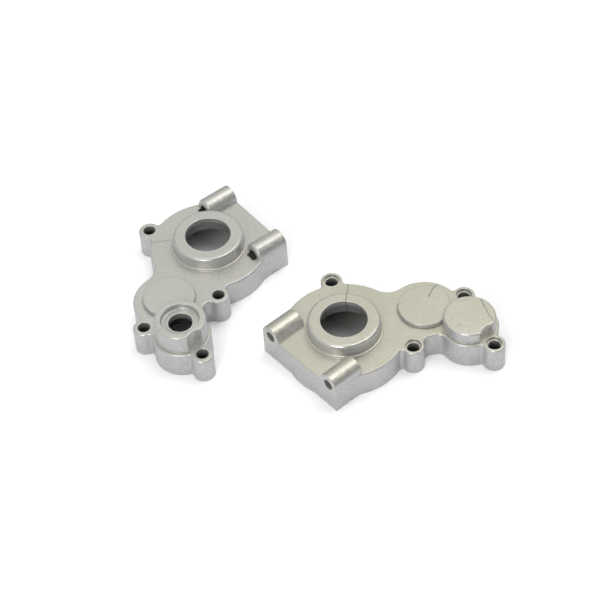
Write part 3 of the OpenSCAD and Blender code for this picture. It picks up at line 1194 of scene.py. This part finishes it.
@dataclass(frozen=True)
class CasePlastic:
    """Silver grey plastic with metallic pigment, with painted light: a warmer tint on faces that
    look up, painted highlights on the rims and painted shade in the openings.

    Pairs of numbers are the values at the two ends of what they depend on, and sizes are
    in millimetres, apart from the grain's height in metres.
    """

    side: Side
    marks: tuple[Mark, ...]
    openings: tuple[Opening, ...]
    # Painted light: faces that look up get the warmer top colour and walls the cooler wall colour,
    # for the warm light from above and the cool light on the sides
    top: Colour
    wall: Colour = (0.62, 0.615, 0.615, 1.0)
    mark_colour: Colour = (0.20, 0.20, 0.20, 1.0)
    # Painted shade: the darker colour inside the openings and chambers
    core_colour: Colour = (0.12, 0.115, 0.11, 1.0)
    # Painted highlight: the brighter colour laid on the rims, and its share
    rim_colour: Colour = (0.66, 0.66, 0.66, 1.0)
    rim_share: float = 0.6
    rim_gloss: float = 0.31
    metallic: float = 0.75
    gloss: tuple[float, float] = (0.38, 0.44)
    top_slope: tuple[float, float] = (0.25, 0.95)
    top_share: tuple[float, float] = (0.8, 1.0)
    flakes_per_mm: float = 2.6
    flake_tilt: float = 0.12
    flake_shade: tuple[float, float] = (0.93, 1.07)
    cloud_size: float = 14.0
    grain_size: float = 0.35
    grain_range: tuple[float, float] = (0.3, 0.7)
    grain_shade: tuple[float, float] = (0.96, 1.04)
    grain_height: float = 0.012 * MM

    def build(self) -> bpy.types.Material:
        """Builds the material.

        Returns:
            The new material.
        """
        material = bpy.data.materials.new(f"{self.side.value}_half_plastic")
        material.use_nodes = True
        pen = NodePen(material.node_tree)
        spot = pen.node("ShaderNodeTexCoord", {}).outputs
        place = pen.node("ShaderNodeMapping", {
            "Vector": spot["Object"], "Scale": (1.0 / MM,) * 3}).outputs["Vector"]
        flakes = pen.effect(PigmentFlakes, {
            "Place": place, "Cells": self.flakes_per_mm, "Tilt": self.flake_tilt})
        tint = pen.effect(CloudyTint, {
            "Place": place, "Cloud Size": self.cloud_size, "Grain Size": self.grain_size})
        polish = pen.effect(PolishedRims, {"Place": place, "Facing": spot["Normal"]})["Polish"]
        marked = self.all_marks(pen, place)
        colour = self.colour(pen, spot["Normal"], flakes, tint)
        # Painted highlight: the rims are painted brighter, besides their lower roughness
        rims = pen.number("MULTIPLY", polish, self.rim_share)
        colour = pen.mixed(rims, colour, self.rim_colour)
        colour = pen.mixed(marked, colour, self.mark_colour)
        # Painted shade: the colour darkens inside the openings and chambers
        colour = pen.mixed(self.all_openings(pen, place), colour, self.core_colour)
        gloss = pen.spread(tint["Cloud"], 0.0, 1.0, *self.gloss)
        bump = pen.node("ShaderNodeBump", {
            "Height": pen.number("SUBTRACT", tint["Grain"], marked), "Strength": 1.0,
            "Distance": self.grain_height, "Normal": flakes["Normal"]})
        pen.feed(material.node_tree.nodes["Principled BSDF"], {
            "Base Color": colour, "Metallic": self.metallic, "Normal": bump.outputs["Normal"],
            "Roughness": pen.between(polish, gloss, self.rim_gloss)})
        return material

    def colour(self, pen: NodePen, normal: bpy.types.NodeSocket, flakes: bpy.types.NodeOutputs,
               tint: bpy.types.NodeOutputs) -> bpy.types.NodeSocket:
        """Builds the colour of the plain surface, with painted light: faces that look up get the
        warmer top colour and walls the cooler wall colour.

        Args:
            pen: The pen for the material's tree.
            normal: The surface's direction.
            flakes: What the flakes put out.
            tint: What the slow drift puts out.

        Returns:
            The colour.
        """
        share = pen.number(
            "MULTIPLY", pen.spread(pen.upward(normal), *self.top_slope, 0.0, 1.0),
            pen.spread(tint["Cloud"], 0.0, 1.0, *self.top_share))
        shade = pen.number(
            "MULTIPLY", pen.spread(flakes["Brightness"], 0.0, 1.0, *self.flake_shade),
            pen.spread(tint["Grain"], *self.grain_range, *self.grain_shade))
        # Painted light: the warm top colour on faces that look up, the cool wall colour on walls
        base = pen.mixed(share, self.wall, self.top)
        return pen.mixed(1.0, base, pen.grey(shade), "MULTIPLY")

    def all_openings(self, pen: NodePen, place: bpy.types.NodeSocket) -> bpy.types.NodeSocket:
        """Places the painted shade inside every opening.

        Args:
            pen: The pen for the material's tree.
            place: The place on the surface, in millimetres.

        Returns:
            The mask of the painted shade in all openings together.
        """
        masks = []
        for opening in self.openings:
            mouth_place, inward = opening.place(HalfFrame(self.side))
            masks.append(pen.effect(CoreFinish, {
                "Place": place, "Mouth": mouth_place, "Inward": inward, "Radius": opening.radius,
                "Fade": opening.fade, "Share": opening.share})["Inside"])
        return pen.largest(masks)

    def all_marks(self, pen: NodePen, place: bpy.types.NodeSocket) -> bpy.types.NodeSocket:
        """Places every mark of the half, the flow marks and the painted shade along the foot of a
        wall.

        Args:
            pen: The pen for the material's tree.
            place: The place on the surface, in millimetres.

        Returns:
            The mask of all marks together.
        """
        plan = pen.vector("MULTIPLY", place, (1.0, 1.0, 0.0))
        masks = []
        for mark in self.marks:
            start, end = mark.ends()
            drawn = pen.effect(FlowMark, {
                "Place": plan if mark.height is None else place, "From": start, "To": end,
                "Width": mark.width, "Wander": mark.wander})["Mark"]
            masks.append(pen.number("MULTIPLY", drawn, mark.depth))
        return pen.largest(masks)


@dataclass(frozen=True)
class ViewPoint:
    """The photograph's camera."""

    aim: Vector = Vector((5.932 * MM, 4.308 * MM, 0.0))
    azimuth: float = math.radians(-128.276)
    elevation: float = math.radians(47.742)
    distance: float = 507.09 * MM
    roll: float = math.radians(-4.261)
    lens: float = 115.27
    sensor: float = 36.0
    clip: tuple[float, float] = (0.01, 10.0)

    def build(self) -> bpy.types.Object:
        """Creates the camera and makes it the scene's own.

        Returns:
            The camera.
        """
        out = Vector((
            math.cos(self.elevation) * math.cos(self.azimuth),
            math.cos(self.elevation) * math.sin(self.azimuth),
            math.sin(self.elevation)))
        right = Vector((-math.sin(self.azimuth), math.cos(self.azimuth), 0.0))
        up = out.cross(right)
        turn = Matrix.Rotation(self.roll, 3, out)
        right, up = turn @ right, turn @ up
        data = bpy.data.cameras.new("photo_camera")
        data.lens = self.lens
        data.sensor_width = self.sensor
        data.clip_start, data.clip_end = self.clip
        camera = bpy.data.objects.new("photo_camera", data)
        camera.matrix_world = Matrix((
            (right.x, up.x, out.x, self.aim.x + out.x * self.distance),
            (right.y, up.y, out.y, self.aim.y + out.y * self.distance),
            (right.z, up.z, out.z, self.aim.z + out.z * self.distance),
            (0.0, 0.0, 0.0, 1.0)))
        bpy.context.scene.collection.objects.link(camera)
        bpy.context.scene.camera = camera
        return camera


@dataclass(frozen=True)
class Lamp:
    """A square lamp that faces the object, in metres and watts."""

    name: str
    at: tuple[float, float, float]
    size: float
    power: float
    colour: tuple[float, float, float] = (1.0, 0.985, 0.96)

    def hang(self) -> bpy.types.Object:
        """Hangs the lamp.

        Returns:
            The lamp.
        """
        data = bpy.data.lights.new(self.name, "AREA")
        data.shape = "SQUARE"
        data.size = self.size
        data.energy = self.power
        data.color = self.colour
        lamp = bpy.data.objects.new(self.name, data)
        lamp.location = self.at
        lamp.rotation_euler = Vector(self.at).to_track_quat("Z", "Y").to_euler()
        bpy.context.scene.collection.objects.link(lamp)
        return lamp


@dataclass(frozen=True)
class RingShade:
    """Painted shade on the floor that shows through the ring of one half.

    Its depth is the share of the shade's colour, and its reach is how far it goes from
    its darkest place, in millimetres.
    """

    side: Side
    depth: float
    reach: float
    colour: Colour = (0.17, 0.155, 0.135, 1.0)
    away: tuple[float, float, float] = (0.6195, 0.785, 0.0)
    darkest_at: float = 14.0
    under_half: tuple[float, float] = (14.65, 15.8)

    def laid(self, pen: NodePen, spot: bpy.types.NodeSocket,
             floor: bpy.types.NodeSocket) -> bpy.types.NodeSocket:
        """Lays the shade over the floor's colour.

        Args:
            pen: The pen for the floor's material.
            spot: The place on the floor, in metres.
            floor: The floor's colour so far.

        Returns:
            The floor's colour with the shade.
        """
        foot = HalfFrame(self.side).ring_foot()
        darkest = foot + Vector(self.away) * self.darkest_at * MM
        inner, outer = self.under_half
        under = pen.spread(pen.measure("DISTANCE", spot, foot), inner * MM, outer * MM,
                           self.depth, 0.0)
        near = pen.spread(pen.measure("DISTANCE", spot, darkest), 0.0, self.reach * MM, 1.0, 0.0)
        return pen.mixed(pen.number("MULTIPLY", under, near), floor, self.colour, "MULTIPLY")


@dataclass(frozen=True)
class Studio:
    """White surface, world light and lamps, in metres.

    The camera sees the surface grow whiter between the two distances of far_floor. The
    sky is weaker towards the front, between the two turns of front_turn.
    """

    lamps: tuple[Lamp, ...] = (
        Lamp("overhead_softbox", (0.34, -0.02, 0.90), size=0.60, power=2.3),
        Lamp("left_softbox", (-0.65, -0.38, 0.49), size=0.35, power=2.5))
    # Painted shade on the floor under each ring
    shades: tuple[RingShade, ...] = (
        RingShade(Side.SHAFT, depth=0.7, reach=10.0),
        RingShade(Side.CLOSED, depth=0.95, reach=18.0))
    floor_size: float = 4.0
    floor_tone: float = 0.85
    floor_seen: tuple[float, float] = (1.15, 6.0)
    far_floor: tuple[float, float] = (0.2, 2.0)
    floor_roughness: float = 0.9
    sky: tuple[float, float] = (0.3, 1.0)
    sky_colour: Colour = (0.985, 0.98, 1.0, 1.0)
    front: tuple[float, float, float] = (-0.25, -0.968, 0.0)
    front_turn: tuple[float, float] = (0.1, 0.7)
    front_share: float = 0.35

    def build(self) -> None:
        """Builds the floor, the world and the lamps."""
        self.floor()
        self.world()
        for lamp in self.lamps:
            lamp.hang()

    def floor(self) -> bpy.types.Object:
        """Lays the white surface under the halves.

        Returns:
            The floor.
        """
        bpy.ops.object.select_all(action="DESELECT")
        bpy.ops.mesh.primitive_plane_add(size=self.floor_size)
        floor = bpy.context.object
        floor.name = "white_surface"
        material = bpy.data.materials.new("white_surface")
        material.use_nodes = True
        pen = NodePen(material.node_tree)
        seen = pen.node("ShaderNodeLightPath", {}).outputs["Is Camera Ray"]
        spot = pen.node("ShaderNodeTexCoord", {}).outputs["Object"]
        white = pen.spread(pen.measure("LENGTH", spot), *self.far_floor, *self.floor_seen)
        colour = pen.grey(pen.between(seen, self.floor_tone, white))
        for shade in self.shades:
            colour = shade.laid(pen, spot, colour)
        pen.feed(material.node_tree.nodes["Principled BSDF"], {
            "Base Color": colour, "Roughness": self.floor_roughness, "Specular IOR Level": 0.0})
        floor.data.materials.append(material)
        return floor

    def world(self) -> None:
        """Sets the light from all round, brightest overhead and weaker from the front."""
        world = bpy.data.worlds.new("studio")
        bpy.context.scene.world = world
        world.use_nodes = True
        pen = NodePen(world.node_tree)
        aim = pen.node("ShaderNodeTexCoord", {}).outputs["Generated"]
        ahead = pen.measure("DOT_PRODUCT", aim, self.front)
        sky = pen.number("MULTIPLY", pen.spread(pen.upward(aim), 0.0, 1.0, *self.sky),
                         pen.spread(ahead, *self.front_turn, 1.0, self.front_share))
        seen = pen.node("ShaderNodeLightPath", {}).outputs["Is Camera Ray"]
        pen.feed(world.node_tree.nodes["Background"], {
            "Strength": pen.between(seen, sky, 1.0),
            "Color": pen.mixed(seen, self.sky_colour, WHITE)})


# Start, end, height, width, depth, wander and rise of each mark
SHAFT_HALF_MARKS = (
    Mark((-13.58, 42.30), (-9.02, 39.41), None, 0.30, 0.5),
    Mark((-31.84, 14.11), (-33.00, 14.20), None, 0.22, 0.55, 0.2),
    Mark((-19.39, 13.31), (-19.39, 13.31), 7.5, 0.28, 0.8, 0.1),
    Mark((-29.80, 6.44), (-29.80, 6.44), 13.2, 0.20, 0.7, 0.1),
    Mark((-33.12, 12.06), (-34.35, 12.00), 13.2, 0.22, 0.5, 0.1),
    Mark((-34.18, 13.15), (-34.44, 11.09), 9.21, 0.22, 0.28, 0.1, 0.65),
    Mark((-34.44, 11.09), (-34.06, 9.07), 9.86, 0.22, 0.28, 0.1, 0.33),
    Mark((-34.06, 9.07), (-33.17, 7.36), 10.19, 0.22, 0.25, 0.1, -0.1),
    # Painted shade: a dark line along the foot of a wall, just above the surface
    Mark((7.45, 16.37), (8.50, 16.31), 0.60, 0.32, 1.0, 0.1, -0.2),
)
CLOSED_HALF_MARKS = (
    Mark((14.80, -5.10), (7.00, -13.00), None, 0.26, 0.75, 0.25),
    Mark((31.40, -21.73), (29.70, -21.72), 7.5, 0.28, 0.9, 0.15),
    Mark((28.81, -22.58), (25.58, -24.06), 8.8, 0.26, 0.8, 0.15),
    Mark((33.31, -35.28), (32.15, -37.55), 10.9, 0.26, 0.8, 0.2),
    Mark((32.15, -37.55), (31.16, -39.99), 10.9, 0.24, 0.75, 0.2),
    Mark((31.16, -39.99), (30.38, -42.57), 10.9, 0.24, 0.7, 0.2),
    Mark((24.53, -31.18), (27.79, -31.48), 10.9, 0.35, 0.16, 0.4),
    Mark((27.79, -31.48), (31.25, -33.39), 10.9, 0.35, 0.16, 0.4),
    Mark((23.08, -37.91), (23.08, -37.91), 10.9, 0.30, 1.0, 0.1),
    Mark((-6.06, -17.67), (-6.06, -17.67), 7.8, 0.30, 0.7, 0.1),
    Mark((-3.84, -22.56), (-3.84, -22.56), 7.8, 0.30, 0.7, 0.1),
    Mark((-12.28, -13.93), (-12.28, -14.35), 2.36, 0.24, 0.35, 0.1, -2.0),
    # Painted shade: a dark line along the foot of a wall, just above the surface
    Mark((-8.35, -30.28), (-7.10, -30.28), 0.10, 0.30, 1.0, 0.1, 0.1),
)
# Mount, radius, height of the mouth, fade and share of the painted shade in each opening
CHAMBERS = (
    Opening("output_seat", 7.6, 11.2, 2.5, 0.55),
    Opening("output_seat", 14.75, 5.95, 0.3),
    Opening("idler_seat", 8.4, 5.95, 0.3),
    Opening("input_seat", 6.45, 5.95, 0.3),
)
SCREW_HOLES = tuple(f"{name}_screw_hole" for name in SCREW_BOSSES)
SHAFT_HALF_OPENINGS = CHAMBERS + (
    Opening("input_seat", 5.1, 11.3, 2.5),
    Opening("free_side_tube_hole", 1.55, None, 0.8, 0.8),
    Opening("inner_side_tube_hole", 1.55, None, 0.8, 0.8),
) + tuple(Opening(name, 1.65, 7.4, 3.0) for name in SCREW_HOLES)
CLOSED_HALF_OPENINGS = CHAMBERS + tuple(Opening(name, 1.65, 6.6, 2.5) for name in SCREW_HOLES)
# The last colour of each plastic is the painted warm light on faces that look up
PLASTICS = {
    Side.SHAFT: CasePlastic(Side.SHAFT, SHAFT_HALF_MARKS, SHAFT_HALF_OPENINGS,
                            (0.53, 0.53, 0.475, 1.0)),
    Side.CLOSED: CasePlastic(Side.CLOSED, CLOSED_HALF_MARKS, CLOSED_HALF_OPENINGS,
                             (0.52, 0.52, 0.415, 1.0)),
}


def main() -> None:
    """Builds the camera, the studio and both halves in order."""
    logging.basicConfig(level=logging.INFO)
    ViewPoint().build()
    Studio().build()
    for effect in (PigmentFlakes(), CloudyTint(), FlowMark(), CoreFinish(), PolishedRims()):
        effect.build()
    for half in (MouldedHalf(Side.SHAFT), MouldedHalf(Side.CLOSED)):
        piece = half.build()
        half.dress(piece)
        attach(piece, "root")
        half.node
        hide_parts(half.node)
        LOG.info("%s: %d faces", piece.name, len(piece.data.polygons))
    bpy.context.scene.view_settings.view_transform = "Standard"


if __name__ == "__main__":
    main()
